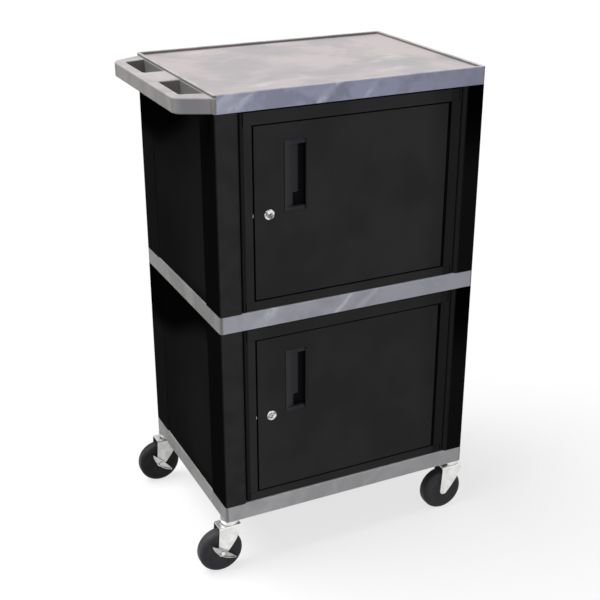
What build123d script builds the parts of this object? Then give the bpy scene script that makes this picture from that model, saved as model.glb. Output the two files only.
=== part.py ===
from build123d import *
import math
import os

os.makedirs("parts", exist_ok=True)

# Rolling audio visual cart: three moulded shelves on moulded corner legs, a locking steel cabinet
# in each of the two tiers, a push handle moulded into the left end and four swivel casters.
# The floor is z = 0, the doors face -Y and the handle is at -X.

# Shelves
shelf_width = 609.6
shelf_depth = 457.2
shelf_thickness = 38.1
shelf_pitch = 457.2
shelf_corner = 6.0
shelf_edge = 2.5
shelf_foot_edge = 1.0
skirt = 6.0
deck = 6.0
rib = 4.0
long_ribs = 4
cross_ribs = 5
lip_height = 6.35
lip_width = 7.0
lip_inner_edge = 1.5

# Push handle, moulded with the top shelf
handle_reach = 65.8
handle_root_width = 444.0
handle_tip_width = 380.0
handle_root_depth = 15.0
handle_corner = 25.0
handle_edge = 3.0
handle_bar = 20.6
handle_web = 90.0
hand_hole_tuck = 3.5
hand_hole_tip_arm = 23.0
hand_hole_root_arm = 42.0
hand_hole_corner = 8.0
hand_hole_edge = 2.0

# Corner legs
leg_front = 50.8
leg_side = 84.0
leg_thickness = 25.4
leg_wall = 6.0
leg_round = 8.0
leg_back_round = 3.0
tenon_length = 12.0
tenon_shoulder = 3.0

# Clearances
fit = 0.3
running = 0.05
turning_gap = 0.2

# Sheet-metal panels
sheet = 1.2
bend = 1.5
panel_recess = 2.0
panel_return = 18.0

# Sheet-metal screws
screw_radius = 2.1
screw_head_radius = 4.0
screw_head_height = 2.4
screw_reach = 14.0
screw_row_pitch = 145.0

# Face frames
frame_recess = 4.0
frame_depth = 20.0
frame_leg_gap = 3.0
frame_top_gap = 3.5
corner_slot = 2.0
corner_slot_inset = 5.6
latch_stile = 24.3
hinge_stile = 23.4
top_rail = 29.1
bottom_rail = 20.0
opening_return = 10.0
seam_width = 0.8
seam_depth = 0.5

# Doors
latch_gap = 4.4
hinge_gap = 7.0
rail_gap = 3.0
door_depth = 16.0
liner_depth = 8.0

# Continuous hinges
hinge_knuckles = 15
knuckle_radius = 2.6
hinge_pin_radius = 1.2
hinge_axis_depth = 1.4
leaf = 1.0
leaf_depth = 12.0
leaf_notch = 3.0
knuckle_tab = 1.7

# Recessed pulls
pull_width = 49.0
pull_height = 146.0
pull_lip = 1.2
pull_proud = 1.4
pull_edge = 1.0
pull_depth = 12.8
pull_inset = 64.1
pull_rise = 73.6
pull_wall = 1.0
pull_end_wall = 8.1
pull_slope_start = 0.6
pull_slope_end = 7.0
pull_slope_width = 31.7
pull_block_width = 13.8
pull_block_height = 28.5

# Cam locks
lock_inset = 30.8
lock_head_radius = 11.2
lock_head_height = 3.2
lock_head_edge = 1.8
lock_barrel_radius = 9.0
lock_barrel_length = 20.0
lock_plug_radius = 6.3
lock_plug_recess = 0.8
key_slot_height = 1.6
key_slot_width = 8.0
key_slot_depth = 10.0
lock_nut_flats = 24.0
lock_nut_height = 3.4
cam_square = 8.0
cam_thickness = 2.0
cam_width = 14.0
cam_length = 44.0
cam_screw_radius = 4.6
cam_screw_height = 2.4
strike_height = 7.0
strike_overlap = 10.0
strike_clearance = 0.6

# Casters
caster_height = 127.0
wheel_diameter = 101.6
wheel_width = 30.0
stem_inset_x = 15.8
stem_inset_y = 20.6
caster_trail = 26.0
stem_radius = 5.5
stem_length = 20.0
race_radius = 20.5
race_cap = 5.0
race_skirt = 3.0
race_drop = 3.4
ball_radius = 1.95
ball_circle = 13.3
ball_count = 12
lower_race_radius = 16.2
lower_race_height = 3.0
kingpin_radius = 5.95
kingpin_head_radius = 8.5
kingpin_head_height = 3.0
fork_sheet = 2.5
fork_side_gap = 1.2
fork_bend = 5.0
fork_crown_back = 31.0
fork_crown_front = 20.0
fork_crown_drop = 12.0
fork_foot_radius = 9.5
fork_foot_angle = 45.0
fork_waist_reach = 21.4
fork_waist_rise = 10.2
fork_knee_reach = 34.2
fork_knee_rise = 28.5
fork_shoulder_drop = 9.0
wheel_tread_round = 9.0
wheel_rim = 13.0
wheel_web_recess = 1.2
wheel_web_slope = 8.0
wheel_hub_radius = 15.0
wheel_hub_proud = 0.6
axle_radius = 3.2
axle_head_flats = 11.0
axle_head_height = 4.5
axle_button_radius = 4.8
axle_button_height = 2.0
axle_nut_height = 5.5
axle_end = 2.0

# Brake levers, each with the tilt at which it stands
lever_half_length = 36.5
lever_tip_rise = 5.5
lever_crown = 8.5
lever_belly = 6.4
lever_plate = 1.6
lever_rim = 3.5
lever_wall = 1.4
lever_tip_round = 1.5
lever_tilts = {"front_left": 37.0, "rear_left": 47.0}

# Levels and reference places worked out from the sizes above
left_reach = shelf_width / 2 + handle_reach
wheel_overhang = wheel_diameter / 2 - stem_inset_x - caster_trail
right_reach = shelf_width / 2 + max(wheel_overhang, 0.0)
mid_x = (left_reach - right_reach) / 2
bottom_shelf_z = caster_height
middle_shelf_z = bottom_shelf_z + shelf_pitch
top_shelf_z = middle_shelf_z + shelf_pitch
handle_thickness = shelf_thickness - lip_height
front_y = -shelf_depth / 2
face_y = front_y + frame_recess
frame_half = shelf_width / 2 - leg_front - frame_leg_gap
opening_left = mid_x - frame_half + latch_stile
opening_right = mid_x + frame_half - hinge_stile
door_left = opening_left + latch_gap
door_right = opening_right - hinge_gap
door_width = door_right - door_left
door_middle_x = (door_left + door_right) / 2
hinge_x = door_right + hinge_gap / 2
hinge_y = face_y + hinge_axis_depth
lock_x = door_left + lock_inset
pull_x = door_left + pull_inset + pull_width / 2
door_back_y = face_y + door_depth
cam_y = face_y + lock_barrel_length + turning_gap
screw_line = leg_thickness / 2
axle_z = wheel_diameter / 2
crown_top_z = caster_height - fork_crown_drop
fork_half = wheel_width / 2 + fork_side_gap + fork_sheet
tiers = {
    "lower": (bottom_shelf_z + shelf_thickness, middle_shelf_z),
    "upper": (middle_shelf_z + shelf_thickness, top_shelf_z),
}
corners = {
    "front_left": (-1, -1),
    "front_right": (1, -1),
    "rear_left": (-1, 1),
    "rear_right": (1, 1),
}


def save(piece, name):
    """Label a finished piece and write it as a STEP file."""
    piece.part.label = name
    export_step(piece.part, f"parts/{name}.step")


def leg_points(side_x, side_y, inset):
    """Corner points of one leg's L section, drawn in by inset."""
    corner_x = mid_x + side_x * shelf_width / 2
    corner_y = side_y * shelf_depth / 2
    elbow = leg_thickness - inset
    inward = [
        (inset, inset),
        (leg_front - inset, inset),
        (leg_front - inset, elbow),
        (elbow, elbow),
        (elbow, leg_side - inset),
        (inset, leg_side - inset),
    ]
    return [(corner_x - side_x * u, corner_y - side_y * v) for u, v in inward]


def leg_section(side_x, side_y, inset):
    """Draw one leg's L section on the open sketch."""
    Polygon(*leg_points(side_x, side_y, inset), align=None)


def screw_heights(tier):
    """Heights of the three screws in one upright edge of a tier."""
    base_z, ceiling_z = tiers[tier]
    middle_z = (base_z + ceiling_z) / 2
    return [middle_z + row * screw_row_pitch for row in (-1, 0, 1)]


# Shelves: a flat deck with a skirt, ribs and corner blocks, moulded in one piece
def cut_underside(base_z, depth):
    """Hollow the underside of the open shelf, leaving its skirt, ribs and corner blocks."""
    block_x = leg_front + skirt
    block_y = leg_side + skirt
    with BuildSketch(Plane.XY.offset(base_z)) as wells:
        with Locations((mid_x, 0)):
            Rectangle(shelf_width - 2 * skirt, shelf_depth - 2 * skirt)
            with GridLocations(shelf_width / (cross_ribs + 1), 0, cross_ribs, 1):
                Rectangle(rib, shelf_depth, mode=Mode.SUBTRACT)
            with GridLocations(0, shelf_depth / (long_ribs + 1), 1, long_ribs):
                Rectangle(shelf_width, rib, mode=Mode.SUBTRACT)
            with GridLocations(shelf_width - block_x, shelf_depth - block_y, 2, 2):
                Rectangle(block_x, block_y, mode=Mode.SUBTRACT)
    extrude(wells.sketch, amount=depth, mode=Mode.SUBTRACT)


def cut_leg_sockets(start_z, depth):
    """Cut the four leg sockets of the open shelf; a negative depth cuts downwards."""
    with BuildSketch(Plane.XY.offset(start_z)) as sockets:
        for side_x, side_y in corners.values():
            leg_section(side_x, side_y, tenon_shoulder - fit)
    extrude(sockets.sketch, amount=depth, mode=Mode.SUBTRACT)


def shelf_blank(base_z):
    """Solid blank of one shelf with its rounded outer edges."""
    with BuildSketch(Plane.XY.offset(base_z)) as plan:
        with Locations((mid_x, 0)):
            RectangleRounded(shelf_width, shelf_depth, shelf_corner)
    extrude(plan.sketch, amount=shelf_thickness)


socket_depth = tenon_length + fit
with BuildPart() as bottom_shelf:
    shelf_blank(bottom_shelf_z)
    fillet(bottom_shelf.faces().sort_by(Axis.Z)[-1].edges(), shelf_edge)
    fillet(bottom_shelf.faces().sort_by(Axis.Z)[0].edges(), shelf_foot_edge)
    cut_underside(bottom_shelf_z, shelf_thickness - deck)
    cut_leg_sockets(bottom_shelf_z + shelf_thickness, -socket_depth)
    with BuildSketch(Plane.XY.offset(bottom_shelf_z)):
        with Locations((mid_x, 0)):
            with GridLocations(shelf_width - 2 * stem_inset_x, shelf_depth - 2 * stem_inset_y, 2, 2):
                Circle(stem_radius + running)
    extrude(amount=stem_length + fit, mode=Mode.SUBTRACT)
save(bottom_shelf, "bottom_shelf")

with BuildPart() as middle_shelf:
    shelf_blank(middle_shelf_z)
    fillet(middle_shelf.faces().sort_by(Axis.Z)[-1].edges(), shelf_edge)
    fillet(middle_shelf.faces().sort_by(Axis.Z)[0].edges(), shelf_foot_edge)
    cut_underside(middle_shelf_z, shelf_thickness - deck)
    cut_leg_sockets(middle_shelf_z + shelf_thickness, -socket_depth)
    cut_leg_sockets(middle_shelf_z, socket_depth)
save(middle_shelf, "middle_shelf")

# Top shelf: the deck is sunk behind a retaining lip, and the left end grows into the push handle
left_wall = mid_x - shelf_width / 2
handle_tip = left_wall - handle_reach
hole_near = left_wall
hole_far = handle_tip + handle_bar
root_half = handle_root_width / 2
tip_half = handle_tip_width / 2

with BuildPart() as handle:
    with BuildSketch(Plane.XY.offset(top_shelf_z)) as handle_plan:
        with BuildLine():
            Polyline(
                (left_wall + handle_root_depth, -root_half),
                (left_wall, -root_half),
                (handle_tip, -tip_half),
                (handle_tip, tip_half),
                (left_wall, root_half),
                (left_wall + handle_root_depth, root_half),
                close=True,
            )
        make_face()
        fillet(handle_plan.vertices().group_by(Axis.X)[0], handle_corner)
    extrude(amount=handle_thickness)
    for face in (handle.faces().sort_by(Axis.Z)[-1], handle.faces().sort_by(Axis.Z)[0]):
        fillet(face.edges(), handle_edge)
    with BuildSketch(Plane.XY.offset(top_shelf_z)) as hand_holes:
        for side in (-1, 1):
            with BuildLine():
                Polyline(
                    (hole_near + hand_hole_tuck, side * handle_web / 2),
                    (hole_far, side * handle_web / 2),
                    (hole_far, side * (tip_half - hand_hole_tip_arm)),
                    (hole_near + hand_hole_tuck, side * (root_half - hand_hole_root_arm)),
                    close=True,
                )
            make_face()
        fillet(hand_holes.vertices().group_by(Axis.X)[0], hand_hole_corner)
    extrude(amount=handle_thickness, mode=Mode.SUBTRACT)
    for level in (-1, 0):
        face = handle.faces().filter_by(Axis.Z).sort_by(Axis.Z)[level]
        for wire in face.inner_wires():
            fillet(wire.edges(), hand_hole_edge)

with BuildPart() as top_shelf:
    shelf_blank(top_shelf_z)
    fillet(top_shelf.faces().sort_by(Axis.Z)[-1].edges(), shelf_edge)
    fillet(top_shelf.faces().sort_by(Axis.Z)[0].edges(), shelf_foot_edge)
    add(handle.part)
    with BuildSketch(Plane.XY.offset(top_shelf_z + shelf_thickness)):
        with Locations((mid_x, 0)):
            RectangleRounded(shelf_width - 2 * lip_width, shelf_depth - 2 * lip_width, shelf_corner)
    extrude(amount=-lip_height, mode=Mode.SUBTRACT)
    lip_top = top_shelf.faces().filter_by(Axis.Z).sort_by(Axis.Z)[-1]
    fillet(lip_top.inner_wires()[0].edges(), lip_inner_edge)
    cut_underside(top_shelf_z, handle_thickness - deck)
    cut_leg_sockets(top_shelf_z, socket_depth)
save(top_shelf, "top_shelf")


# Corner legs: hollow L mouldings whose tenons seat in the shelf sockets
def make_leg(name, side_x, side_y, tier):
    """Build one corner leg with its screw pilots."""
    base_z, ceiling_z = tiers[tier]
    points = leg_points(side_x, side_y, 0)
    end_x, line_y = points[1][0], side_y * (shelf_depth / 2 - screw_line)
    end_y, line_x = points[5][1], mid_x + side_x * (shelf_width / 2 - screw_line)
    pilot = leg_wall + fit
    with BuildPart() as leg:
        with BuildSketch(Plane.XY.offset(base_z)) as section:
            leg_section(side_x, side_y, 0)
            rounds = [shelf_corner, leg_round, leg_back_round, None, leg_back_round, leg_round]
            for point, radius in zip(points, rounds):
                if radius:
                    fillet(section.vertices().sort_by_distance(point)[0], radius)
        extrude(amount=ceiling_z - base_z)
        with BuildSketch(Plane.XY.offset(base_z - tenon_length)):
            leg_section(side_x, side_y, tenon_shoulder)
        extrude(amount=ceiling_z - base_z + 2 * tenon_length)
        with BuildSketch(Plane.XY.offset(base_z - tenon_length)):
            leg_section(side_x, side_y, leg_wall)
        extrude(amount=ceiling_z - base_z + 2 * tenon_length, mode=Mode.SUBTRACT)
        with BuildSketch(Plane.YZ.offset(end_x)):
            with Locations(*[(line_y, height) for height in screw_heights(tier)]):
                Circle(screw_radius + running)
        extrude(amount=side_x * pilot, mode=Mode.SUBTRACT)
        with BuildSketch(Plane.XZ.offset(-end_y)):
            with Locations(*[(line_x, height) for height in screw_heights(tier)]):
                Circle(screw_radius + running)
        extrude(amount=-side_y * pilot, mode=Mode.SUBTRACT)
    save(leg, name)


for tier in tiers:
    for corner, (side_x, side_y) in corners.items():
        make_leg(f"{tier}_{corner}_leg", side_x, side_y, tier)


# Cabinet side and back panels: shallow trays of folded sheet between the legs
def fold_tray(face, width, height, depth):
    """Fold a tray: a flat sheet on the face plane with returns that run back from it."""
    with BuildSketch(face) as flat:
        Rectangle(width, height)
    extrude(flat.sketch, amount=-depth)


def hollow_tray(face, width, height, depth):
    """Open the back of the tray, leaving one sheet thickness."""
    with BuildSketch(face.offset(-sheet)) as inside:
        Rectangle(width - 2 * sheet, height - 2 * sheet)
    extrude(inside.sketch, amount=-depth, mode=Mode.SUBTRACT)


def make_side_panel(name, side_x, tier):
    """Build one side panel, screwed through its upright returns into the legs."""
    base_z, ceiling_z = tiers[tier]
    outer_x = mid_x + side_x * (shelf_width / 2 - panel_recess)
    face = Plane(origin=(outer_x, 0, (base_z + ceiling_z) / 2), x_dir=(0, 1, 0), z_dir=(side_x, 0, 0))
    width = shelf_depth - 2 * leg_side - 2 * fit
    height = ceiling_z - base_z - 2 * fit
    line_x = mid_x + side_x * (shelf_width / 2 - screw_line)
    with BuildPart() as panel:
        fold_tray(face, width, height, panel_return)
        fillet(panel.faces().sort_by(Axis.X)[0 if side_x < 0 else -1].edges(), bend)
        hollow_tray(face, width, height, panel_return)
        with BuildSketch(Plane.XZ.offset(-width / 2)):
            with Locations(*[(line_x, height_z) for height_z in screw_heights(tier)]):
                Circle(screw_radius + fit)
        extrude(amount=width, mode=Mode.SUBTRACT)
    save(panel, name)


def make_back_panel(name, tier):
    """Build one back panel, screwed through its upright returns into the rear legs."""
    base_z, ceiling_z = tiers[tier]
    outer_y = shelf_depth / 2 - panel_recess
    face = Plane(origin=(mid_x, outer_y, (base_z + ceiling_z) / 2), x_dir=(-1, 0, 0), z_dir=(0, 1, 0))
    width = shelf_width - 2 * leg_front - 2 * fit
    height = ceiling_z - base_z - 2 * fit
    line_y = shelf_depth / 2 - screw_line
    with BuildPart() as panel:
        fold_tray(face, width, height, panel_return)
        fillet(panel.faces().sort_by(Axis.Y)[-1].edges(), bend)
        hollow_tray(face, width, height, panel_return)
        with BuildSketch(Plane.YZ.offset(mid_x - width / 2)):
            with Locations(*[(line_y, height_z) for height_z in screw_heights(tier)]):
                Circle(screw_radius + fit)
        extrude(amount=width, mode=Mode.SUBTRACT)
    save(panel, name)


for tier in tiers:
    make_side_panel(f"{tier}_left_panel", -1, tier)
    make_side_panel(f"{tier}_right_panel", 1, tier)
    make_back_panel(f"{tier}_back_panel", tier)


# Face frames: stiles and rails of folded sheet round each door opening
def frame_outline(base_z, ceiling_z, inset):
    """Draw a face frame's outline on the open sketch, drawn in by inset."""
    low_z = base_z + fit + inset
    high_z = ceiling_z - frame_top_gap - inset
    with Locations((mid_x, (low_z + high_z) / 2)):
        Rectangle(2 * (frame_half - inset), high_z - low_z)


def opening_outline(base_z, ceiling_z, outset, mode):
    """Draw a door opening on the open sketch, grown by outset."""
    low_z = base_z + bottom_rail - outset
    high_z = ceiling_z - top_rail + outset
    wide = opening_right - opening_left + 2 * outset
    with Locations(((opening_left + opening_right) / 2, (low_z + high_z) / 2)):
        Rectangle(wide, high_z - low_z, mode=mode)


def make_face_frame(name, tier):
    """Build one face frame with outer and inner returns, corner slots, seams and screw holes."""
    base_z, ceiling_z = tiers[tier]
    face = Plane.XZ.offset(-face_y)
    line_y = front_y + screw_line
    slot_half = frame_half - corner_slot_inset
    with BuildPart() as frame:
        with BuildSketch(face):
            frame_outline(base_z, ceiling_z, 0)
        extrude(amount=-frame_depth)
        fillet(frame.faces().sort_by(Axis.Y)[0].edges(), bend)
        with BuildSketch(face.offset(-sheet)):
            frame_outline(base_z, ceiling_z, sheet)
            opening_outline(base_z, ceiling_z, sheet, Mode.SUBTRACT)
        extrude(amount=-frame_depth, mode=Mode.SUBTRACT)
        with BuildSketch(face):
            opening_outline(base_z, ceiling_z, 0, Mode.ADD)
        extrude(amount=-frame_depth, mode=Mode.SUBTRACT)
        with BuildSketch(face.offset(-opening_return)):
            opening_outline(base_z, ceiling_z, 2 * sheet, Mode.ADD)
        extrude(amount=-frame_depth, mode=Mode.SUBTRACT)
        with BuildSketch(face):
            for low_z, high_z in ((base_z, base_z + bottom_rail), (ceiling_z - top_rail, ceiling_z)):
                with Locations((mid_x, (low_z + high_z) / 2)):
                    with GridLocations(2 * slot_half, 0, 2, 1):
                        Rectangle(corner_slot, high_z - low_z)
        extrude(amount=-frame_depth, mode=Mode.SUBTRACT)
        with BuildSketch(face):
            for seam_z in (base_z + bottom_rail, ceiling_z - top_rail):
                for side, edge in ((-1, opening_left), (1, opening_right)):
                    slot_x = mid_x + side * slot_half
                    with Locations(((slot_x + edge) / 2, seam_z)):
                        Rectangle(abs(slot_x - edge), seam_width)
        extrude(amount=-seam_depth, mode=Mode.SUBTRACT)
        with BuildSketch(Plane.YZ.offset(mid_x - frame_half)):
            with Locations(*[(line_y, height) for height in screw_heights(tier)]):
                Circle(screw_radius + fit)
        extrude(amount=frame_depth / 2, mode=Mode.SUBTRACT)
        with BuildSketch(Plane.YZ.offset(mid_x + frame_half)):
            with Locations(*[(line_y, height) for height in screw_heights(tier)]):
                Circle(screw_radius + fit)
        extrude(amount=-frame_depth / 2, mode=Mode.SUBTRACT)
    save(frame, name)


for tier in tiers:
    make_face_frame(f"{tier}_face_frame", tier)

# Sheet-metal screws: three in each upright edge of every panel and face frame
with BuildPart() as cabinet_screws:
    for tier in tiers:
        for side_x, side_y in corners.values():
            panel_edge_y = side_y * (shelf_depth / 2 - leg_side - fit - sheet)
            back_edge_x = mid_x + side_x * (shelf_width / 2 - leg_front - fit - sheet)
            frame_edge_x = mid_x + side_x * (frame_half - sheet)
            flange_x = back_edge_x if side_y > 0 else frame_edge_x
            line_x = mid_x + side_x * (shelf_width / 2 - screw_line)
            line_y = side_y * (shelf_depth / 2 - screw_line)
            for height in screw_heights(tier):
                with BuildSketch(Plane.XZ.offset(-panel_edge_y)):
                    with Locations((line_x, height)):
                        Circle(screw_radius)
                extrude(amount=-side_y * screw_reach)
                with BuildSketch(Plane.XZ.offset(-panel_edge_y)):
                    with Locations((line_x, height)):
                        Circle(screw_head_radius)
                extrude(amount=side_y * screw_head_height)
                with BuildSketch(Plane.YZ.offset(flange_x)):
                    with Locations((line_y, height)):
                        Circle(screw_radius)
                extrude(amount=side_x * screw_reach)
                with BuildSketch(Plane.YZ.offset(flange_x)):
                    with Locations((line_y, height)):
                        Circle(screw_head_radius)
                extrude(amount=-side_x * screw_head_height)
save(cabinet_screws, "cabinet_screws")


# Doors: a folded outer skin closed by an inner liner
def door_levels(tier):
    """Bottom and top of a tier's door."""
    base_z, ceiling_z = tiers[tier]
    return base_z + bottom_rail + rail_gap, ceiling_z - top_rail - rail_gap


def make_door_skin(name, tier):
    """Build one door skin with its pull cut-out and lock hole."""
    low_z, high_z = door_levels(tier)
    middle_z = (low_z + high_z) / 2
    face = Plane(origin=(door_middle_x, face_y, middle_z), x_dir=(1, 0, 0), z_dir=(0, -1, 0))
    with BuildPart() as skin:
        fold_tray(face, door_width, high_z - low_z, door_depth)
        fillet(skin.faces().sort_by(Axis.Y)[0].edges(), bend)
        hollow_tray(face, door_width, high_z - low_z, door_depth)
        with BuildSketch(Plane.XZ.offset(-face_y)):
            with Locations((lock_x, middle_z)):
                Circle(lock_barrel_radius + fit)
            with Locations((pull_x, middle_z + pull_rise)):
                Rectangle(pull_width - 2 * pull_lip + fit, pull_height - 2 * pull_lip + fit)
        extrude(amount=-sheet, mode=Mode.SUBTRACT)
    save(skin, name)


def make_door_liner(name, tier):
    """Build one door liner, a tray pushed into the back of the skin."""
    low_z, high_z = door_levels(tier)
    middle_z = (low_z + high_z) / 2
    face = Plane(origin=(door_middle_x, door_back_y, middle_z), x_dir=(-1, 0, 0), z_dir=(0, 1, 0))
    width = door_width - 2 * (sheet + fit)
    height = high_z - low_z - 2 * (sheet + fit)
    with BuildPart() as liner:
        fold_tray(face, width, height, liner_depth)
        fillet(liner.faces().sort_by(Axis.Y)[-1].edges(), bend)
        hollow_tray(face, width, height, liner_depth)
        with BuildSketch(Plane.XZ.offset(-door_back_y)):
            with Locations((lock_x, middle_z)):
                Circle(lock_barrel_radius + fit)
        extrude(amount=sheet, mode=Mode.SUBTRACT)
    save(liner, name)


# Recessed pulls: a sloped finger face that falls into a deep pocket behind the right-hand edge
def make_pull(name, tier):
    """Build one recessed pull."""
    low_z, high_z = door_levels(tier)
    middle_z = (low_z + high_z) / 2 + pull_rise
    left_x = pull_x - pull_width / 2
    well_left = left_x + pull_lip + pull_wall
    well_right = left_x + pull_width - pull_lip - pull_wall
    well_low = middle_z - pull_height / 2 + pull_end_wall
    well_high = middle_z + pull_height / 2 - pull_end_wall
    slope_x = well_left + pull_slope_width
    front = face_y - pull_proud
    floor_y = face_y + pull_depth - pull_wall
    with BuildPart() as pull:
        with BuildSketch(Plane.XZ.offset(-face_y)):
            with Locations((pull_x, middle_z)):
                Rectangle(pull_width, pull_height)
        extrude(amount=pull_proud)
        chamfer(pull.faces().sort_by(Axis.Y)[0].edges(), pull_edge)
        with BuildSketch(Plane.XZ.offset(-face_y)):
            with Locations((pull_x, middle_z)):
                Rectangle(pull_width - 2 * pull_lip, pull_height - 2 * pull_lip)
        extrude(amount=-pull_depth)
        with BuildSketch(Plane.XY.offset(well_low)):
            with BuildLine():
                Polyline(
                    (well_left, front),
                    (well_right, front),
                    (well_right, floor_y),
                    (slope_x, floor_y),
                    (slope_x, face_y + pull_slope_end),
                    (well_left, face_y + pull_slope_start - pull_proud),
                    close=True,
                )
            make_face()
        extrude(amount=well_high - well_low, mode=Mode.SUBTRACT)
        with BuildSketch(Plane.XZ.offset(-front)):
            with Locations((slope_x - pull_block_width / 2, well_low + pull_block_height / 2)):
                Rectangle(pull_block_width, pull_block_height)
        extrude(amount=front - floor_y, mode=Mode.SUBTRACT)
    save(pull, name)


# Cam locks: a chromed housing clamped by a nut, with a plug that turns the cam behind the strike
def make_lock(tier):
    """Build one lock's housing, nut, plug and cam."""
    low_z, high_z = door_levels(tier)
    middle_z = (low_z + high_z) / 2
    seat = Plane(origin=(lock_x, face_y, middle_z), x_dir=(1, 0, 0), z_dir=(0, -1, 0))
    plug_front = lock_head_height - lock_plug_recess
    with BuildPart() as body:
        with BuildSketch(seat):
            Circle(lock_head_radius)
        extrude(amount=lock_head_height)
        fillet(body.faces().sort_by(Axis.Y)[0].edges(), lock_head_edge)
        with BuildSketch(seat):
            Circle(lock_barrel_radius)
        extrude(amount=-lock_barrel_length)
        with BuildSketch(seat.offset(lock_head_height)):
            Circle(lock_plug_radius + running)
        extrude(amount=-lock_head_height - lock_barrel_length, mode=Mode.SUBTRACT)
    save(body, f"{tier}_lock_body")
    with BuildPart() as nut:
        with BuildSketch(seat.offset(-door_depth)):
            RegularPolygon(lock_nut_flats / 2, 6, major_radius=False)
            Circle(lock_barrel_radius + running, mode=Mode.SUBTRACT)
        extrude(amount=-lock_nut_height)
    save(nut, f"{tier}_lock_nut")
    with BuildPart() as plug:
        with BuildSketch(seat.offset(plug_front)):
            Circle(lock_plug_radius)
        extrude(amount=-plug_front - lock_barrel_length - turning_gap)
        with BuildSketch(seat.offset(plug_front)):
            Rectangle(key_slot_width, key_slot_height)
        extrude(amount=-key_slot_depth, mode=Mode.SUBTRACT)
        with BuildSketch(seat.offset(-lock_barrel_length - turning_gap)):
            Rectangle(cam_square, cam_square)
        extrude(amount=-cam_thickness)
    save(plug, f"{tier}_lock_plug")
    cam_seat = seat.offset(-lock_barrel_length - turning_gap)
    with BuildPart() as cam:
        with BuildSketch(cam_seat):
            Circle(cam_width / 2)
            with Locations((0, -(cam_length - cam_width / 2) / 2)):
                Rectangle(cam_width, cam_length - cam_width / 2)
            with Locations((0, -(cam_length - cam_width / 2))):
                Circle(cam_width / 2)
            Rectangle(cam_square, cam_square, mode=Mode.SUBTRACT)
        extrude(amount=-cam_thickness)
        with BuildSketch(cam_seat.offset(-cam_thickness - running)):
            Circle(cam_screw_radius)
        extrude(amount=-cam_screw_height)
    save(cam, f"{tier}_lock_cam")


# Continuous hinges: two leaves with alternate knuckles on one pin, along the whole door
def make_hinge_leaf(name, tier, side, parity, skirt_x):
    """Build one hinge leaf; side is -1 for the door's and 1 for the frame's."""
    low_z, high_z = door_levels(tier)
    pitch = (high_z - low_z) / hinge_knuckles
    leaf_x = skirt_x - side * leaf
    with BuildPart() as hinge_leaf:
        with BuildSketch(Plane.XY.offset(low_z)):
            near_y = hinge_y + leaf_notch
            far_y = hinge_y + leaf_depth
            with Locations(((skirt_x + leaf_x) / 2, (near_y + far_y) / 2)):
                Rectangle(leaf, far_y - near_y)
        extrude(amount=high_z - low_z)
        for knuckle in range(parity, hinge_knuckles, 2):
            with BuildSketch(Plane.XY.offset(low_z + knuckle * pitch + turning_gap / 2)):
                with Locations((hinge_x, hinge_y)):
                    Circle(knuckle_radius)
                with Locations((skirt_x - side * knuckle_tab / 2, hinge_y + leaf_notch / 2)):
                    Rectangle(knuckle_tab, leaf_notch)
                with Locations((hinge_x, hinge_y)):
                    Circle(hinge_pin_radius + running, mode=Mode.SUBTRACT)
            extrude(amount=pitch - turning_gap)
    save(hinge_leaf, name)


for tier in tiers:
    make_door_skin(f"{tier}_door_skin", tier)
    make_door_liner(f"{tier}_door_liner", tier)
    make_pull(f"{tier}_pull", tier)
    make_lock(tier)
    make_hinge_leaf(f"{tier}_hinge_frame_leaf", tier, 1, 0, opening_right)
    make_hinge_leaf(f"{tier}_hinge_door_leaf", tier, -1, 1, door_right)

with BuildPart() as hinge_pins:
    for tier in tiers:
        low_z, high_z = door_levels(tier)
        with BuildSketch(Plane.XY.offset(low_z)):
            with Locations((hinge_x, hinge_y)):
                Circle(hinge_pin_radius)
        extrude(amount=high_z - low_z)
save(hinge_pins, "hinge_pins")

# Strike plates: zinc angles on the latch side of each opening, ahead of the turned cam
with BuildPart() as strike_plates:
    for tier in tiers:
        low_z, high_z = door_levels(tier)
        middle_z = (low_z + high_z) / 2
        strike_back = cam_y - strike_clearance
        with BuildSketch(Plane.XY.offset(middle_z - strike_height / 2)):
            with BuildLine():
                Polyline(
                    (opening_left, face_y + bend),
                    (opening_left + sheet, face_y + bend),
                    (opening_left + sheet, strike_back),
                    (opening_left - strike_overlap, strike_back),
                    (opening_left - strike_overlap, strike_back - sheet),
                    (opening_left, strike_back - sheet),
                    close=True,
                )
            make_face()
        extrude(amount=strike_height)
save(strike_plates, "strike_plates")


# Casters: a stem and race cap in the shelf, and a swivelling fork that carries the wheel
def caster_axis(side_x, side_y):
    """Plan position of a caster's swivel axis."""
    stem_x = mid_x + side_x * (shelf_width / 2 - stem_inset_x)
    stem_y = side_y * (shelf_depth / 2 - stem_inset_y)
    return stem_x, stem_y


def make_stem(name, stem_x, stem_y):
    """Build one stem with its race cap and riveted kingpin."""
    cap_low = caster_height - race_cap
    head_top = crown_top_z - fork_sheet - turning_gap
    with BuildPart() as stem:
        with BuildSketch(Plane.XY.offset(caster_height)):
            with Locations((stem_x, stem_y)):
                Circle(stem_radius)
        extrude(amount=stem_length)
        with BuildSketch(Plane.XY.offset(cap_low - race_drop)):
            with Locations((stem_x, stem_y)):
                Circle(race_radius)
        extrude(amount=race_cap + race_drop)
        fillet(stem.faces().sort_by(Axis.Z)[0].edges(), bend)
        with BuildSketch(Plane.XY.offset(cap_low)):
            with Locations((stem_x, stem_y)):
                Circle(race_radius - race_skirt)
        extrude(amount=-race_drop, mode=Mode.SUBTRACT)
        with BuildSketch(Plane.XY.offset(head_top)):
            with Locations((stem_x, stem_y)):
                Circle(kingpin_radius)
        extrude(amount=cap_low - head_top)
        with BuildSketch(Plane.XY.offset(head_top)):
            with Locations((stem_x, stem_y)):
                Circle(kingpin_head_radius)
        extrude(amount=-kingpin_head_height)
        fillet(stem.faces().sort_by(Axis.Z)[0].edges(), bend)
    save(stem, name)


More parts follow.
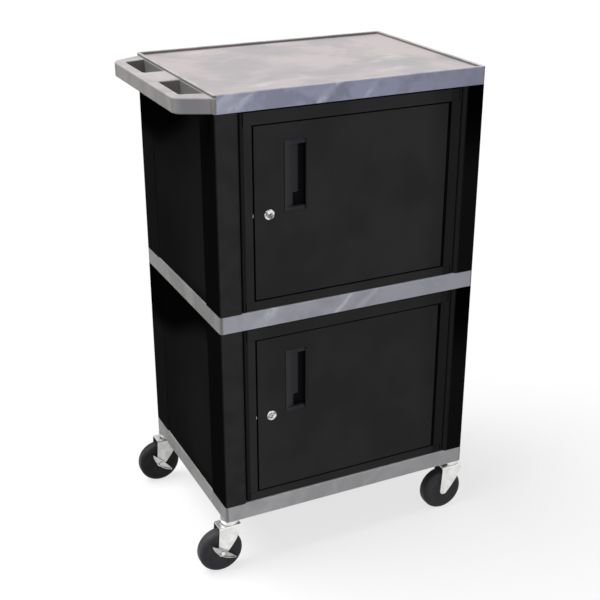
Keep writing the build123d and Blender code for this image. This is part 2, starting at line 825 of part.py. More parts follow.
def make_fork(name, stem_x, stem_y):
    """Bend one fork: a U section trimmed to the side outline, with its pressed lower race."""
    axle_x = stem_x - caster_trail
    crown_back = stem_x - fork_crown_back
    crown_front = stem_x + fork_crown_front
    foot = fork_foot_radius
    foot_join = foot - running
    foot_angle = math.radians(fork_foot_angle)
    foot_z = axle_z - foot
    inner_half = fork_half - fork_sheet
    inner_bend = fork_bend - fork_sheet
    middle_z = (foot_z + crown_top_z) / 2
    with BuildPart() as fork:
        with BuildSketch(Plane.YZ.offset(crown_back - foot)) as bent:
            with Locations((stem_y, middle_z)):
                Rectangle(2 * fork_half, crown_top_z - foot_z)
            fillet(bent.vertices().group_by(Axis.Y)[-1], fork_bend)
        extrude(amount=crown_front - crown_back + foot)
        with BuildSketch(Plane.YZ.offset(crown_back - foot)) as inside:
            with Locations((stem_y, middle_z - fork_sheet)):
                Rectangle(2 * inner_half, crown_top_z - foot_z)
            fillet(inside.vertices().group_by(Axis.Y)[-1], inner_bend)
        extrude(amount=crown_front - crown_back + foot, mode=Mode.SUBTRACT)
        with BuildSketch(Plane.XZ.offset(fork_half + axle_end - stem_y)):
            with BuildLine():
                lower = (
                    axle_x + foot_join * math.cos(foot_angle),
                    axle_z - foot_join * math.sin(foot_angle),
                )
                waist = (axle_x + fork_waist_reach, axle_z + fork_waist_rise)
                knee = (axle_x + fork_knee_reach, axle_z + fork_knee_rise)
                shoulder = (crown_front, crown_top_z - fork_shoulder_drop)
                ThreePointArc(lower, waist, knee)
                Line(knee, shoulder)
                Line(shoulder, (crown_front, crown_top_z))
                Line((crown_front, crown_top_z), (crown_back, crown_top_z))
                Line((crown_back, crown_top_z), (axle_x - foot, axle_z))
                Line((axle_x - foot, axle_z), lower)
            make_face()
            with Locations((axle_x, axle_z)):
                Circle(foot)
        extrude(amount=-2 * fork_half - 2 * axle_end, mode=Mode.INTERSECT)
        with BuildSketch(Plane.XY.offset(crown_top_z)):
            with Locations((stem_x, stem_y)):
                Circle(lower_race_radius)
        extrude(amount=lower_race_height)
        with BuildSketch(Plane.XY.offset(crown_top_z + lower_race_height)):
            with Locations((stem_x, stem_y)):
                Circle(kingpin_radius + running)
        extrude(amount=-lower_race_height - fork_sheet, mode=Mode.SUBTRACT)
        with BuildSketch(Plane.XZ.offset(fork_half + axle_end - stem_y)):
            with Locations((axle_x, axle_z)):
                Circle(axle_radius + running)
        extrude(amount=-2 * fork_half - 2 * axle_end, mode=Mode.SUBTRACT)
    save(fork, name)


def make_wheel(name, stem_x, stem_y):
    """Turn one wheel: a round-shouldered tread, a shallow web and a plain bearing bore."""
    axle_x = stem_x - caster_trail
    tread = wheel_diameter / 2
    half = wheel_width / 2
    rim = tread - wheel_rim
    hub_half = half + wheel_hub_proud
    web_half = half - wheel_web_recess
    axle_line = Axis((axle_x, stem_y, axle_z), (0, 1, 0))
    with BuildPart() as wheel:
        with BuildSketch(Plane.YZ.offset(axle_x)) as section:
            with BuildLine():
                Polyline(
                    (stem_y - hub_half, axle_z + axle_radius + running),
                    (stem_y - hub_half, axle_z + wheel_hub_radius),
                    (stem_y - web_half, axle_z + wheel_hub_radius + bend),
                    (stem_y - web_half, axle_z + rim - wheel_web_slope),
                    (stem_y - half, axle_z + rim),
                    (stem_y - half, axle_z + tread),
                    (stem_y + half, axle_z + tread),
                    (stem_y + half, axle_z + rim),
                    (stem_y + web_half, axle_z + rim - wheel_web_slope),
                    (stem_y + web_half, axle_z + wheel_hub_radius + bend),
                    (stem_y + hub_half, axle_z + wheel_hub_radius),
                    (stem_y + hub_half, axle_z + axle_radius + running),
                    close=True,
                )
            make_face()
            fillet(section.vertices().group_by(Axis.Y)[-1], wheel_tread_round)
        revolve(axis=axle_line)
    save(wheel, name)


def make_axle(name, stem_x, stem_y, lever_space):
    """Build one axle bolt with its nut; ahead of a brake lever it has a low round head."""
    axle_x = stem_x - caster_trail
    head_height = axle_button_height if lever_space else axle_head_height
    front = Plane(
        origin=(axle_x, stem_y - fork_half - lever_space, axle_z), x_dir=(1, 0, 0), z_dir=(0, -1, 0)
    )
    back = Plane(origin=(axle_x, stem_y + fork_half, axle_z), x_dir=(-1, 0, 0), z_dir=(0, 1, 0))
    with BuildPart() as axle:
        with BuildSketch(front):
            if lever_space:
                Circle(axle_button_radius)
            else:
                RegularPolygon(axle_head_flats / 2, 6, major_radius=False)
        extrude(amount=head_height)
        with BuildSketch(front):
            Circle(axle_radius)
        extrude(amount=-2 * fork_half - lever_space - axle_nut_height - axle_end)
        with BuildSketch(back):
            RegularPolygon(axle_head_flats / 2, 6, major_radius=False)
            Circle(axle_radius + running, mode=Mode.SUBTRACT)
        extrude(amount=axle_nut_height)
    save(axle, name)


def make_brake_lever(name, stem_x, stem_y, tilt_degrees):
    """Press one brake lever: a dished plate that rocks on the axle beside the fork."""
    axle_x = stem_x - caster_trail
    tilt = math.radians(tilt_degrees)
    seat = Plane(
        origin=(axle_x, stem_y - fork_half - turning_gap, axle_z),
        x_dir=(math.cos(tilt), 0, -math.sin(tilt)),
        z_dir=(0, -1, 0),
    )
    with BuildPart() as lever:
        with BuildSketch(seat) as outline:
            with BuildLine():
                left_tip = (-lever_half_length, lever_tip_rise)
                right_tip = (lever_half_length, lever_tip_rise)
                ThreePointArc(left_tip, (0, lever_crown), right_tip)
                ThreePointArc(right_tip, (0, -lever_belly), left_tip)
            make_face()
            fillet(outline.vertices(), lever_tip_round)
        extrude(amount=lever_plate + lever_rim)
        with BuildSketch(seat.offset(lever_plate)) as dish:
            with BuildLine():
                ThreePointArc(left_tip, (0, lever_crown), right_tip)
                ThreePointArc(right_tip, (0, -lever_belly), left_tip)
            make_face()
            offset(amount=-lever_wall, mode=Mode.REPLACE)
        extrude(amount=lever_rim, mode=Mode.SUBTRACT)
        with BuildSketch(seat):
            Circle(axle_radius + running)
        extrude(amount=lever_plate, mode=Mode.SUBTRACT)
    save(lever, name)


lever_stack = turning_gap + lever_plate + turning_gap
for corner, (side_x, side_y) in corners.items():
    stem_x, stem_y = caster_axis(side_x, side_y)
    make_stem(f"{corner}_caster_stem", stem_x, stem_y)
    make_fork(f"{corner}_caster_fork", stem_x, stem_y)
    make_wheel(f"{corner}_wheel", stem_x, stem_y)
    make_axle(f"{corner}_axle_bolt", stem_x, stem_y, lever_stack if corner in lever_tilts else 0)
    if corner in lever_tilts:
        make_brake_lever(f"{corner}_brake_lever", stem_x, stem_y, lever_tilts[corner])

# Swivel bearing balls, a ring in each race cap
with BuildPart() as caster_balls:
    lower_race_z = crown_top_z + lower_race_height
    upper_race_z = caster_height - race_cap
    ball_z = (lower_race_z + upper_race_z) / 2
    for side_x, side_y in corners.values():
        stem_x, stem_y = caster_axis(side_x, side_y)
        with Locations((stem_x, stem_y, ball_z)):
            with PolarLocations(ball_circle, ball_count):
                Sphere(ball_radius)
save(caster_balls, "caster_balls")
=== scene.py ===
import math
import bpy
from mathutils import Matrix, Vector


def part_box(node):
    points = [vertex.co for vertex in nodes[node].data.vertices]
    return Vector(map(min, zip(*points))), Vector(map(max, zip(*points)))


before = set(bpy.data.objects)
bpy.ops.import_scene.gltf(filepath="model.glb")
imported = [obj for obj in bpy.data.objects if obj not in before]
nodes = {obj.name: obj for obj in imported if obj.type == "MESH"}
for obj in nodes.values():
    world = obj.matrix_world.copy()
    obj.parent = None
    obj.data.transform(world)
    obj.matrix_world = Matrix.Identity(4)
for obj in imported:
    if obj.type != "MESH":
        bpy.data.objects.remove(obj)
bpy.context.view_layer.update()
bpy.ops.object.select_all(action="DESELECT")

# The camera stands in front of the left corner and looks down on the cart, as in the photograph.
# Its lens and place come from a fit to the corners of the three shelves, measured from their middle.
shelf_low, shelf_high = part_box("middle_shelf")
shelf_middle = Vector(((shelf_low.x + shelf_high.x) / 2, 0, 0))
camera_place = shelf_middle + Vector((-1.0533, -2.1610, 1.5632))
camera_aim = shelf_middle + Vector((-0.01535, 0.0, 0.5195))
camera_lens = 67.24
camera_reach = 200.0
bpy.ops.object.camera_add(location=camera_place)
camera = bpy.context.object
camera.rotation_euler = (camera_aim - camera_place).to_track_quat("-Z", "Y").to_euler()
camera.data.lens = camera_lens
camera.data.clip_end = camera_reach
bpy.context.scene.camera = camera

# Shelves, each one moulding of grey resin with paler streaks stirred through it while it is hot.
# The deck cools to a warm cloudy skin, the long edges show cool pale wisps that lean to the right,
# and the ends and the push handle stay a plainer grey. The mix differs from shelf to shelf.
top_low, top_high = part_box("top_shelf")
lip_height = 0.00635
deck_z = top_high.z - lip_height
deck_dusk = (0.450, 0.422, 0.437, 1)
deck_blush = (0.580, 0.515, 0.521, 1)
deck_pale = (0.700, 0.680, 0.684, 1)
# The lip's walls and the hand openings are painted darker grey as painted shade
lip_shade = (0.170, 0.165, 0.165, 1)
hole_shade = (0.210, 0.203, 0.200, 1)
handle_top = (0.450, 0.422, 0.418, 1)
handle_top_pale = (0.590, 0.556, 0.552, 1)
arm_gray = (0.340, 0.334, 0.350, 1)
arm_pale = (0.415, 0.408, 0.428, 1)

# Each streak of a shelf: its distance from the left end, its half width and its strength
shelf_mixes = {
    "top": {
        "slate": (0.400, 0.418, 0.560, 1),
        "mist": (0.600, 0.620, 0.840, 1),
        "wisp": (0.810, 0.835, 1.000, 1),
        "end": (0.272, 0.256, 0.253, 1),
        "end_pale": (0.345, 0.326, 0.322, 1),
        "streaks": (
            (-0.004, 0.026, 0.9),
            (0.034, 0.026, 1.0),
            (0.222, 0.020, 1.0),
            (0.318, 0.015, 0.6),
        ),
        "left_glow": 0.45,
        "skin": 0.0016,
    },
    "middle": {
        "slate": (0.560, 0.565, 0.640, 1),
        "mist": (0.680, 0.685, 0.780, 1),
        "wisp": (0.900, 0.910, 0.980, 1),
        "end": (0.212, 0.210, 0.206, 1),
        "end_pale": (0.278, 0.275, 0.270, 1),
        "streaks": ((0.080, 0.034, 0.8), (0.262, 0.012, 0.8), (0.320, 0.018, 0.35)),
        "left_glow": 0.25,
        "skin": 0.0060,
    },
    "bottom": {
        "slate": (0.600, 0.600, 0.620, 1),
        "mist": (0.740, 0.740, 0.760, 1),
        "wisp": (0.860, 0.860, 0.890, 1),
        "end": (0.225, 0.225, 0.222, 1),
        "end_pale": (0.300, 0.299, 0.295, 1),
        "streaks": ((0.090, 0.030, 0.5), (0.345, 0.020, 0.35)),
        "left_glow": 0.10,
        "skin": 0.0060,
    },
}

# How the resin was stirred: the scale of the swirls and how far they push it
deck_stir = (6.0, 0.10)
mist_stir = (12.0, 0.06)
wisp_stir = (22.0, 0.035)

# Patches of colour: the noise's scale, detail and roughness, and the levels that they ease between
deck_clouds = (8.0, 4.0, 0.55, 0.38, 0.62)
deck_flecks = (22.0, 4.0, 0.55, 0.52, 0.74)
deck_spread = (5.0, 2.0, 0.50, 0.44, 0.60)
mist_patches = (16.0, 4.0, 0.60, 0.40, 0.60)
wisp_patches = (44.0, 5.0, 0.62, 0.43, 0.58)
end_mottle = (16.0, 4.0, 0.55, 0.36, 0.64)
fleck_length = 3.0
fleck_share = 0.7
mist_share = 0.7
calm_share = 0.45
glow_start = 0.04
glow_end = 0.30
wisp_length = 2.6
wisp_lean = math.radians(-50)
wisp_slope = 1.1
wisp_share = 0.9
wisp_least = 0.4
wander_scale = 24.0
wander_reach = 0.03
grain_scale = 620.0
skin_scale = 38.0
skin_height = 2.0
grain_depth = 0.00018

# Where each skin starts and ends, measured from the shelf's sides, its deck, its lip or its middle
skin_start = 0.0003
corner_start = 0.004
corner_end = 0.008
lip_foot = 0.0008
lip_crown = 0.0016
lip_ease = 0.0006
root_start = 0.004
root_end = 0.001
arm_edge = -0.185
arm_ease = 0.003
face_start = 0.004
face_end = 0.001
bar_width = 0.018
hand_openings = 0.183
hole_drop = 0.002
hole_ease = 0.001
hole_end_ease = 0.002


class Shade:
    """A shader value in plain arithmetic, where each sign adds a Math node."""

    def __init__(self, tree, socket=None):
        self.tree = tree
        self.socket = socket

    def node(self, kind, settings=None, sockets=None, output=0):
        """Add a node: its settings are set first, then its sockets' values or links."""
        made = self.tree.nodes.new("ShaderNode" + kind)
        for name, value in (settings or {}).items():
            setattr(made, name, value)
        for name, value in (sockets or {}).items():
            if isinstance(value, Shade):
                self.tree.links.new(value.socket, made.inputs[name])
            else:
                made.inputs[name].default_value = value
        return Shade(self.tree, made.outputs[output] if made.outputs else None)

    def maths(self, operation, *values):
        """One Math node on these values."""
        return self.node("Math", {"operation": operation}, dict(enumerate(values)))

    def __add__(self, other):
        return self.maths("ADD", self, other)

    def __radd__(self, other):
        return self.maths("ADD", other, self)

    def __sub__(self, other):
        return self.maths("SUBTRACT", self, other)

    def __rsub__(self, other):
        return self.maths("SUBTRACT", other, self)

    def __mul__(self, other):
        return self.maths("MULTIPLY", self, other)

    def __rmul__(self, other):
        return self.maths("MULTIPLY", other, self)

    def smooth(self, low, high):
        """Ease from 0 at low to 1 at high."""
        sockets = {"Value": self, "From Min": low, "From Max": high}
        return self.node("MapRange", {"interpolation_type": "SMOOTHSTEP"}, sockets)

    def near(self, place, reach):
        """1 at a place, easing to 0 at this reach on either side of it."""
        return 1 - self.maths("ABSOLUTE", self - place).smooth(0.0, reach)

    def within(self, low, high, ease):
        """1 between low and high, easing to 0 outside them."""
        return self.smooth(low - ease, low + ease) * (1 - self.smooth(high - ease, high + ease))

    def noise(self, scale, detail=2.0, roughness=0.5):
        """Noise from 0 to 1 on this vector."""
        sockets = {"Vector": self, "Scale": scale, "Detail": detail, "Roughness": roughness}
        return self.node("TexNoise", None, sockets)

    def patches(self, scale, detail, roughness, low, high):
        """Noise on this vector, eased from 0 at the low level to 1 at the high one."""
        return self.noise(scale, detail, roughness).smooth(low, high)

    def axis(self, number):
        """One part of this vector."""
        return self.node("SeparateXYZ", None, {0: self}, number)

    def stirred(self, scale, reach):
        """Push this vector about by a soft noise."""
        swirl = self.node("TexNoise", None, {"Vector": self, "Scale": scale, "Detail": 3.0}, "Color")
        swirl = self.node("VectorMath", {"operation": "SUBTRACT"}, {0: swirl, 1: (0.5, 0.5, 0.5)})
        swirl = self.node("VectorMath", {"operation": "SCALE"}, {0: swirl, "Scale": reach})
        return self.node("VectorMath", {"operation": "ADD"}, {0: self, 1: swirl})

    def drawn_out(self, length, turn=(0, 0, 0)):
        """Draw a pattern on this vector out along X, and turn it."""
        sockets = {"Vector": self, "Rotation": turn, "Scale": (length, 1.0, 1.0)}
        return self.node("Mapping", {"vector_type": "TEXTURE"}, sockets)

    def blend(self, color_a, color_b):
        """Mix two colours by this value."""
        return self.node("Mix", {"data_type": "RGBA"}, {0: self, 6: color_a, 7: color_b}, 2)

    def bump(self, distance):
        """A normal bumped by this height."""
        return self.node("Bump", None, {"Height": self, "Distance": distance, "Strength": 1.0})


def start_finish(name):
    """Start a material, and give it with its Object coordinates."""
    made = bpy.data.materials.new(name)
    made.use_nodes = True
    made.node_tree.nodes.clear()
    place = Shade(made.node_tree).node("TexCoord", None, None, "Object")
    return made, place


def end_finish(made, sockets):
    """Close a material with one Principled shader."""
    shader = Shade(made.node_tree).node("BsdfPrincipled", None, sockets)
    shader.node("OutputMaterial", None, {"Surface": shader})
    return made


def dress(names, finish):
    """Give one finish to several nodes of the frame."""
    for name in names:
        nodes[name].data.materials.clear()
        nodes[name].data.materials.append(finish)


for shelf, mix in shelf_mixes.items():
    shelf_resin, place = start_finish(f"{shelf}_marbled_resin")
    across, along, up = (place.axis(number) for number in range(3))
    stirred = place.stirred(*deck_stir)

    # Deck
    fleck = stirred.drawn_out(fleck_length).patches(*deck_flecks) * place.patches(*deck_spread)
    deck_color = stirred.patches(*deck_clouds).blend(deck_dusk, deck_blush)
    deck_color = (fleck * fleck_share).blend(deck_color, deck_pale)

    # Long edges
    left_end = 1 - across.smooth(shelf_low.x + glow_start, shelf_low.x + glow_end)
    calm = across.smooth(0.0, shelf_high.x) * calm_share
    misty = place.stirred(*mist_stir).patches(*mist_patches) * (mist_share - calm)
    edge_color = (misty + left_end * mix["left_glow"]).blend(mix["slate"], mix["mist"])
    shelf_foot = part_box(f"{shelf}_shelf")[0].z
    wander = (place.noise(wander_scale) - 0.5) * wander_reach
    sloping = across - (up - shelf_foot) * wisp_slope + wander
    streak = 0.0
    for distance, reach, strength in mix["streaks"]:
        streak = sloping.near(shelf_low.x + distance, reach) * strength + streak
    leaning = place.stirred(*wisp_stir).drawn_out(wisp_length, (0, wisp_lean, 0))
    wisp = leaning.patches(*wisp_patches) * wisp_share + wisp_least
    edge_color = (wisp * streak).blend(edge_color, mix["wisp"])

    # Ends and push handle
    mottle = stirred.patches(*end_mottle)
    near_arm = 1 - along.smooth(arm_edge - arm_ease, arm_edge + arm_ease)
    near_arm = near_arm * (1 - across.smooth(shelf_low.x - root_start, shelf_low.x - root_end))
    top_face = up.smooth(deck_z - face_start, deck_z - face_end)
    end_color = mottle.blend(mix["end"], mix["end_pale"])
    end_color = near_arm.blend(end_color, mottle.blend(arm_gray, arm_pale))
    end_color = top_face.blend(end_color, mottle.blend(handle_top, handle_top_pale))

    # Ends, deck, hand openings, lip and long edges, each over the ones before it. The hand openings
    # and the lip's walls are painted darker grey as painted shade.
    inland = across.smooth(shelf_low.x + corner_start, shelf_low.x + corner_end)
    inland = inland * (1 - across.smooth(shelf_high.x - corner_end, shelf_high.x - corner_start))
    lip_skin = up.smooth(deck_z + skin_start, deck_z + mix["skin"])
    color = (inland * (1 - lip_skin)).blend(end_color, deck_color)
    in_hole = across.within(top_low.x + bar_width, shelf_low.x + hole_ease, hole_ease)
    in_hole = in_hole * along.within(-hand_openings, hand_openings, hole_end_ease)
    in_hole = in_hole * up.within(top_low.z - hole_drop, deck_z - hole_drop, hole_ease)
    color = in_hole.blend(color, hole_shade)
    lip_wall = up.within(deck_z + lip_foot, top_high.z - lip_crown, lip_ease)
    color = lip_wall.blend(color, lip_shade)
    front_skin = 1 - along.smooth(shelf_low.y + skin_start, shelf_low.y + mix["skin"])
    back_skin = along.smooth(shelf_high.y - mix["skin"], shelf_high.y - skin_start)
    color = ((front_skin + back_skin) * inland).blend(color, edge_color)
    skin = place.noise(skin_scale)
    end_finish(
        shelf_resin,
        {
            "Base Color": color,
            "Roughness": 0.46 + skin * 0.14,
            "Specular IOR Level": 0.35,
            "Normal": (place.noise(grain_scale) + skin * skin_height).bump(grain_depth),
        },
    )
    dress([f"{shelf}_shelf"], shelf_resin)

# Corner legs, eight hollow mouldings in black resin that plug into the shelves.
# They have a fine leathery grain. Their fronts are dusty black on the left, and on the right front
# legs they are painted darker as painted shade, with a strip of painted light along the inner edge.
# Their outer sides are painted blacker still as painted shade, most of all just under a shelf.
leg_front_dark = (0.050, 0.050, 0.050, 1)
leg_front_light = (0.061, 0.061, 0.061, 1)
leg_right_edge_light = (0.030, 0.030, 0.030, 1)
leg_side_black = (0.005, 0.005, 0.005, 1)
leg_side_lit = (0.0112, 0.0112, 0.0112, 1)
leg_side_shade = (0.0015, 0.0015, 0.0015, 1)
leg_clouds = (0.3, 0.7)
leg_skin_scale = 22.0
leg_grain_scale = 430.0
leg_detail = 3.0
leg_grain_depth = 0.00022
side_depth = 0.005
middle_ease = 0.02
right_turn = shelf_high.x - 0.0469
right_turn_reach = 0.008
right_shade_start = 0.04
right_shade_end = 0.22
rear_edge = shelf_high.y - 0.086
rear_edge_ease = 0.002
rear_shade = 0.10
shade_reach = 0.06


def below_shelf(place):
    """How far a place lies below the shelf over it."""
    up = place.axis(2)
    return up.maths("FLOORED_MODULO", top_low.z - up, top_low.z - shelf_low.z)


leg_resin, place = start_finish("black_resin")
skin = place.noise(leg_skin_scale, leg_detail)
across, along = place.axis(0), place.axis(1)
front = 1 - along.smooth(-middle_ease, middle_ease)
left_side = 1 - across.smooth(shelf_low.x, shelf_low.x + side_depth)
left_side = left_side + along.within(rear_edge, rear_edge + side_depth, rear_edge_ease)
right_side = across.smooth(right_turn, right_turn + right_turn_reach) * front
right_side = right_side + across.smooth(shelf_high.x - side_depth, shelf_high.x)
drop = below_shelf(place)
# Painted shade on the outer sides, darkest just under a shelf, and on the right front legs' fronts
rear_color = (drop - rear_shade).smooth(0.0, shade_reach).blend(leg_side_shade, leg_side_lit)
right_color = drop.smooth(right_shade_start, right_shade_end).blend(leg_side_shade, leg_side_lit)
color = skin.smooth(*leg_clouds).blend(leg_front_dark, leg_front_light)
color = (across.smooth(0.0, middle_ease) * front).blend(color, leg_right_edge_light)
color = left_side.blend(color, front.blend(rear_color, leg_side_black))
end_finish(
    leg_resin,
    {
        "Base Color": right_side.blend(color, right_color),
        "Roughness": 0.70 + skin * 0.16,
        "Specular IOR Level": 0.0,
        "Normal": place.noise(leg_grain_scale, leg_detail).bump(leg_grain_depth),
    },
)
tiers = ("lower", "upper")
corners = ("front_left", "front_right", "rear_left", "rear_right")
dress([f"{tier}_{corner}_leg" for tier in tiers for corner in corners], leg_resin)

# Side panels, shallow trays of sheet steel screwed between the legs.
# Their powder coat is painted a deeper black than that of the fronts as painted shade, with random
# clouds, and it is painted lighter towards the front as painted light. It is painted darker just under
# each shelf as painted shadow, most of all at the rear, and along the foot of its front half.
panel_shade = (0.0020, 0.0020, 0.0020, 1)
panel_black = (0.0095, 0.0095, 0.0095, 1)
panel_pale = (0.0160, 0.0160, 0.0158, 1)
panel_front = -0.150
panel_rear = 0.130
panel_scale = 4.0
panel_clouds = (0.30, 0.70)
cloud_share = 0.5
front_light_share = 0.5
foot_start = 0.385
foot_end = 0.420
foot_shade = 0.6
peel_scale = 760.0
peel_depth = 0.00014


def powder_coat(made, place, color, cloudy):
    """Black powder coat, which melts into a low orange peel that scatters the light."""
    sockets = {
        "Base Color": color,
        "Roughness": 0.62 + cloudy * 0.12,
        "Specular IOR Level": 0.0,
        "Normal": place.noise(peel_scale).bump(peel_depth),
    }
    return end_finish(made, sockets)


panel_coat, place = start_finish("panel_powder_coat")
cloudy = place.noise(panel_scale)
rear = place.axis(1).smooth(panel_front, panel_rear)
drop = below_shelf(place)
# Painted shadow under each shelf and at the foot, and painted light towards the front
lit = (drop - rear * rear_shade).smooth(0.0, shade_reach)
lit = lit - drop.smooth(foot_start, foot_end) * (1 - rear) * foot_shade
patches_and_light = cloudy.smooth(*panel_clouds) * cloud_share + (1 - rear) * front_light_share
color = lit.blend(panel_shade, patches_and_light.blend(panel_black, panel_pale))
powder_coat(panel_coat, place, color, cloudy)
dress([f"{tier}_{side}_panel" for tier in tiers for side in ("left", "right")], panel_coat)

# Face frames and doors, folded from sheet steel and powder coated in satin black. The folded returns
# in the gaps are painted blacker as painted shade, and a strip along the left edge and the doors and
# stiles towards the hinges on the right are painted darker as painted shade.
# The liner that closes each door at the back has the side panels' coat.
front_black = (0.048, 0.048, 0.048, 1)
front_dusty = (0.058, 0.058, 0.058, 1)
return_shade = (0.008, 0.008, 0.008, 1)
edge_shade = (0.030, 0.030, 0.030, 1)
front_scale = 7.0
front_clouds = (0.36, 0.64)
edge_strip = 0.0075
edge_ease = 0.0006
return_start = 0.0016
return_end = 0.0035
outer_start = 0.002
outer_end = 0.004
door_fall = 0.06
door_fall_share = 0.4
stile_start = 0.003
stile_end = 0.006
stile_share = 0.6
door_low, door_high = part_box("lower_door_skin")
frame_low, frame_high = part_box("lower_face_frame")
front_coat, place = start_finish("front_powder_coat")
cloudy = place.noise(front_scale)
across = place.axis(0)
# Painted shade on the folded returns, along the left edge, and towards the hinges
folded = place.axis(1).smooth(door_low.y + return_start, door_low.y + return_end)
folded = folded * across.smooth(frame_low.x + outer_start, frame_low.x + outer_end)
strip_end = frame_low.x + edge_strip
strip = 1 - across.smooth(strip_end - edge_ease, strip_end + edge_ease)
strip = strip + across.smooth(door_high.x - door_fall, door_high.x) * door_fall_share
strip = strip + across.smooth(door_high.x + stile_start, door_high.x + stile_end) * stile_share
color = cloudy.smooth(*front_clouds).blend(front_black, front_dusty)
color = strip.blend(color, edge_shade)
powder_coat(front_coat, place, folded.blend(color, return_shade), cloudy)
dress([f"{tier}_{part}" for tier in tiers for part in ("face_frame", "door_skin")], front_coat)
dress([f"{tier}_door_liner" for tier in tiers], panel_coat)

# Back panels, trays of sheet steel screwed between the rear legs.
# Their powder coat is as black as that of the fronts, and clouded in the same way all over.


def even_coat(name, color_a, color_b):
    """A powder coat clouded from one black to another in the same way all over."""
    made, place = start_finish(name)
    cloudy = place.noise(front_scale)
    return powder_coat(made, place, cloudy.smooth(*front_clouds).blend(color_a, color_b), cloudy)


back_coat = even_coat("back_powder_coat", front_black, front_dusty)
dress([f"{tier}_back_panel" for tier in tiers], back_coat)

# Continuous hinges, which run up the whole right edge of each door, and the screws of the cabinets.
# The leaves are rolled from steel strip round a wire pin. All are blacked with oxide, worn a little.
hinge_black = (0.0025, 0.0025, 0.0025, 1)
hinge_worn = (0.006, 0.006, 0.006, 1)
hinge_parts = [f"{tier}_hinge_{side}_leaf" for tier in tiers for side in ("frame", "door")]
hinge_parts += ["hinge_pins", "cabinet_screws"]
dress(hinge_parts, even_coat("hinge_black_oxide", hinge_black, hinge_worn))

# Recessed pulls, moulded in black plastic with a satin face and snapped into the doors.
# The mould leaves the slope and rim satin and the pocket rough. The slope is painted from lighter at
# its left to darker at the pocket as painted shade, and the pocket, the right-hand rim and a thin
# outline on the left are painted dead black as painted shade.
pull_slope_lit = (0.052, 0.050, 0.058, 1)
pull_slope_shaded = (0.036, 0.035, 0.043, 1)
pocket_shade = (0.002, 0.002, 0.003, 1)
pocket_start = 0.0058
pocket_end = 0.0086
flange_start = 0.006
flange_end = 0.003
outline_start = 0.0004
outline_end = 0.0014
slope_start = 0.006
slope_end = 0.020
pull_grain_scale = 900.0
pull_grain_depth = 0.00008
pull_low, pull_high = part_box("lower_pull")
pull_plastic, place = start_finish("satin_black_plastic")
grain = place.noise(pull_grain_scale)
across = place.axis(0)
# Painted shade in the pocket, on the right-hand rim, on the left outline and down the slope
pocket = place.axis(1).smooth(door_low.y + pocket_start, door_low.y + pocket_end)
shaded = pocket + across.smooth(pull_high.x - flange_start, pull_high.x - flange_end)
shaded = shaded + (1 - across.smooth(pull_low.x + outline_start, pull_low.x + outline_end))
slope = across.smooth(pull_low.x + slope_start, pull_low.x + slope_end)
end_finish(
    pull_plastic,
    {
        "Base Color": shaded.blend(slope.blend(pull_slope_lit, pull_slope_shaded), pocket_shade),
        "Roughness": 0.40 + grain * 0.08 + pocket * 0.40,
        "Specular IOR Level": 0.12,
        "Normal": grain.bump(pull_grain_depth),
    },
)
dress([f"{tier}_pull" for tier in tiers], pull_plastic)

# Cam locks, turned housings clamped in the doors, with the plug that the key turns.
# Both are nickel plated. Handling has roughened the plate in patches, and the same patches are
# painted dark as painted reflection.
nickel_painted_dark = (0.16, 0.16, 0.16, 1)
nickel_bright = (0.80, 0.80, 0.79, 1)
haze_scale = 110.0
haze_detail = 3.0
reflection_levels = (0.38, 0.60)
nickel, place = start_finish("nickel_plate_painted_reflections")
# The patches are painted dark as painted reflection, and they are rougher too
haze_and_reflection = place.noise(haze_scale, haze_detail)
end_finish(
    nickel,
    {
        "Base Color": haze_and_reflection.smooth(*reflection_levels).blend(nickel_painted_dark, nickel_bright),
        "Metallic": 1.0,
        "Roughness": 0.16 + haze_and_reflection * 0.20,
    },
)
dress([f"{tier}_{part}" for tier in tiers for part in ("lock_body", "lock_plug")], nickel)

# Casters, lock cams and strikes, pressed or turned in steel and plated with bright zinc.
# The plate has a faint cloudy spangle and fine drawing marks. It is painted greyer at the rear as
# painted shade, and it is darker on the brake levers.
zinc_shaded = (0.46, 0.46, 0.46, 1)
zinc_shaded_pale = (0.60, 0.60, 0.59, 1)
zinc_pale = (0.72, 0.72, 0.71, 1)
zinc_bright = (0.88, 0.88, 0.87, 1)
lever_gray = (0.34, 0.34, 0.34, 1)
lever_pale = (0.58, 0.58, 0.58, 1)
spangle_scale = 60.0
spangle_detail = 3.0
spangle_levels = (0.3, 0.7)
drawing_scale = 1400.0
drawing_depth = 0.00006
wheelbase_ease = 0.1


def zinc_plate(name, color_a, color_b):
    """Zinc plate, clouded from one colour to another at the front, and painted greyer at the rear as
    painted shade.
    """
    made, place = start_finish(name)
    spangle = place.noise(spangle_scale, spangle_detail)
    blotch = spangle.smooth(*spangle_levels)
    # The rear is painted greyer as painted shade
    rear = place.axis(1).smooth(-wheelbase_ease, wheelbase_ease)
    sockets = {
        "Base Color": rear.blend(blotch.blend(color_a, color_b), blotch.blend(zinc_shaded, zinc_shaded_pale)),
        "Metallic": 1.0,
        "Roughness": 0.28 + spangle * 0.14,
        "Normal": place.noise(drawing_scale).bump(drawing_depth),
    }
    return end_finish(made, sockets)


braked_corners = ("front_left", "rear_left")
caster_steel = ("caster_stem", "caster_fork", "axle_bolt")
zinc_parts = ["strike_plates", "caster_balls"]
zinc_parts += [f"{tier}_{part}" for tier in tiers for part in ("lock_nut", "lock_cam")]
zinc_parts += [f"{corner}_{part}" for corner in corners for part in caster_steel]
levers = [f"{corner}_brake_lever" for corner in braked_corners]
dress(zinc_parts, zinc_plate("bright_zinc", zinc_pale, zinc_bright))
dress(levers, zinc_plate("darker_zinc", lever_gray, lever_pale))

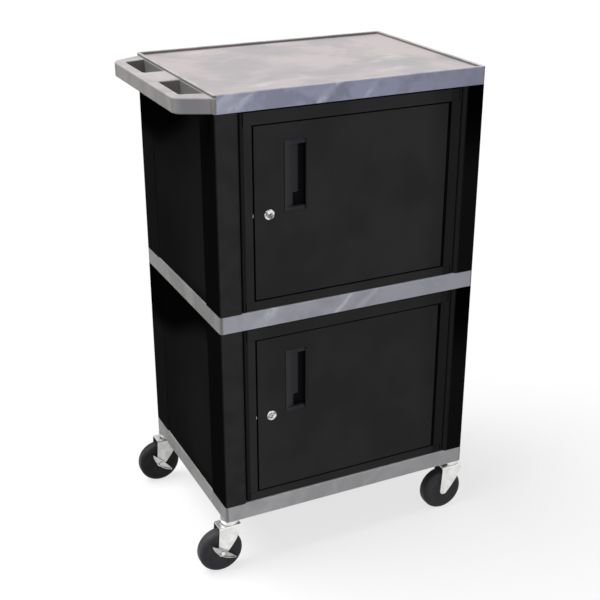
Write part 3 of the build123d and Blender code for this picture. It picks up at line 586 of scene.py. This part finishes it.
# Wheels, moulded in hard dark grey rubber with rounded shoulders.
# A film of dust lies on them in patches, and the front pair is painted paler as painted light.
rubber_clean = (0.0045, 0.0045, 0.0050, 1)
rubber_dust_and_light = (0.063, 0.064, 0.069, 1)
dust_scale = 30.0
dust_detail = 4.0
dust_levels = (0.30, 0.75)
dust_patches = 0.3
front_pair_light = 0.65
rubber_grain_scale = 520.0
rubber_grain_detail = 3.0
rubber_grain_depth = 0.00025
wheel_rubber, place = start_finish("wheel_rubber")
grain = place.noise(rubber_grain_scale, rubber_grain_detail)
dust = place.noise(dust_scale, dust_detail)
# The front pair is painted paler as painted light
front = 1 - place.axis(1).smooth(-wheelbase_ease, wheelbase_ease)
patches_and_light = dust.smooth(*dust_levels) * dust_patches + front * front_pair_light
end_finish(
    wheel_rubber,
    {
        "Base Color": patches_and_light.blend(rubber_clean, rubber_dust_and_light),
        "Roughness": 0.36 + dust * 0.20,
        "Specular IOR Level": 0.15,
        "Normal": grain.bump(rubber_grain_depth),
    },
)
dress([f"{corner}_wheel" for corner in corners], wheel_rubber)

# Pale studio floor and sky, which the camera, metal and glass see as white.
# The floor stays darker to other light, so that it throws little of it back at the cart.
floor_size = 120.0
floor_gray = (0.30, 0.30, 0.30, 1)
floor_glow = 0.72
sky_strength = 0.22
sky_white = 1.0
white = (1, 1, 1, 1)


def seen_rays(start):
    """Where a ray comes from the camera, a reflection or clear glass."""
    kinds = ("Camera", "Glossy", "Transmission")
    camera_ray, glossy_ray, glass_ray = (
        start.node("LightPath", None, None, f"Is {kind} Ray") for kind in kinds
    )
    return start.maths("MAXIMUM", start.maths("MAXIMUM", camera_ray, glossy_ray), glass_ray)


bpy.ops.mesh.primitive_plane_add(size=floor_size, location=(0, 0, 0))
floor = bpy.context.object
floor.name = "floor"
floor_paint, place = start_finish("floor_paint")
flat = place.node("BsdfDiffuse", None, {"Color": floor_gray})
glow = place.node("Emission", None, {"Color": white, "Strength": floor_glow})
bright = place.node("AddShader", None, {0: flat, 1: glow})
both = place.node("MixShader", None, {0: seen_rays(place), 1: flat, 2: bright})
both.node("OutputMaterial", None, {"Surface": both})
floor.data.materials.append(floor_paint)

world = bpy.data.worlds.new("studio")
world.use_nodes = True
world.node_tree.nodes.clear()
sky = Shade(world.node_tree)
dim = sky.node("Background", None, {"Color": white, "Strength": sky_strength})
full = sky.node("Background", None, {"Color": white, "Strength": sky_white})
both = sky.node("MixShader", None, {0: seen_rays(sky), 1: dim, 2: full})
both.node("OutputWorld", None, {"Surface": both})
bpy.context.scene.world = world

# Soft lamps: a broad one high behind the left end for the deck and handle, and a weak one in front.
# Each lamp: its name, the way it shines, its strength, and how many degrees of sky it fills.
lamps = (
    ("key_lamp", (0.50, -0.22, -1.0), 2.60, 45),
    ("front_lamp", (0.30, 1.0, -0.35), 0.50, 60),
)
for name, heading, energy, spread in lamps:
    bpy.ops.object.light_add(type="SUN")
    lamp = bpy.context.object
    lamp.name = name
    lamp.rotation_euler = Vector(heading).to_track_quat("-Z", "Y").to_euler()
    lamp.data.energy = energy
    lamp.data.angle = math.radians(spread)

# Plain colours in the picture
scene = bpy.context.scene
scene.view_settings.view_transform = "Standard"
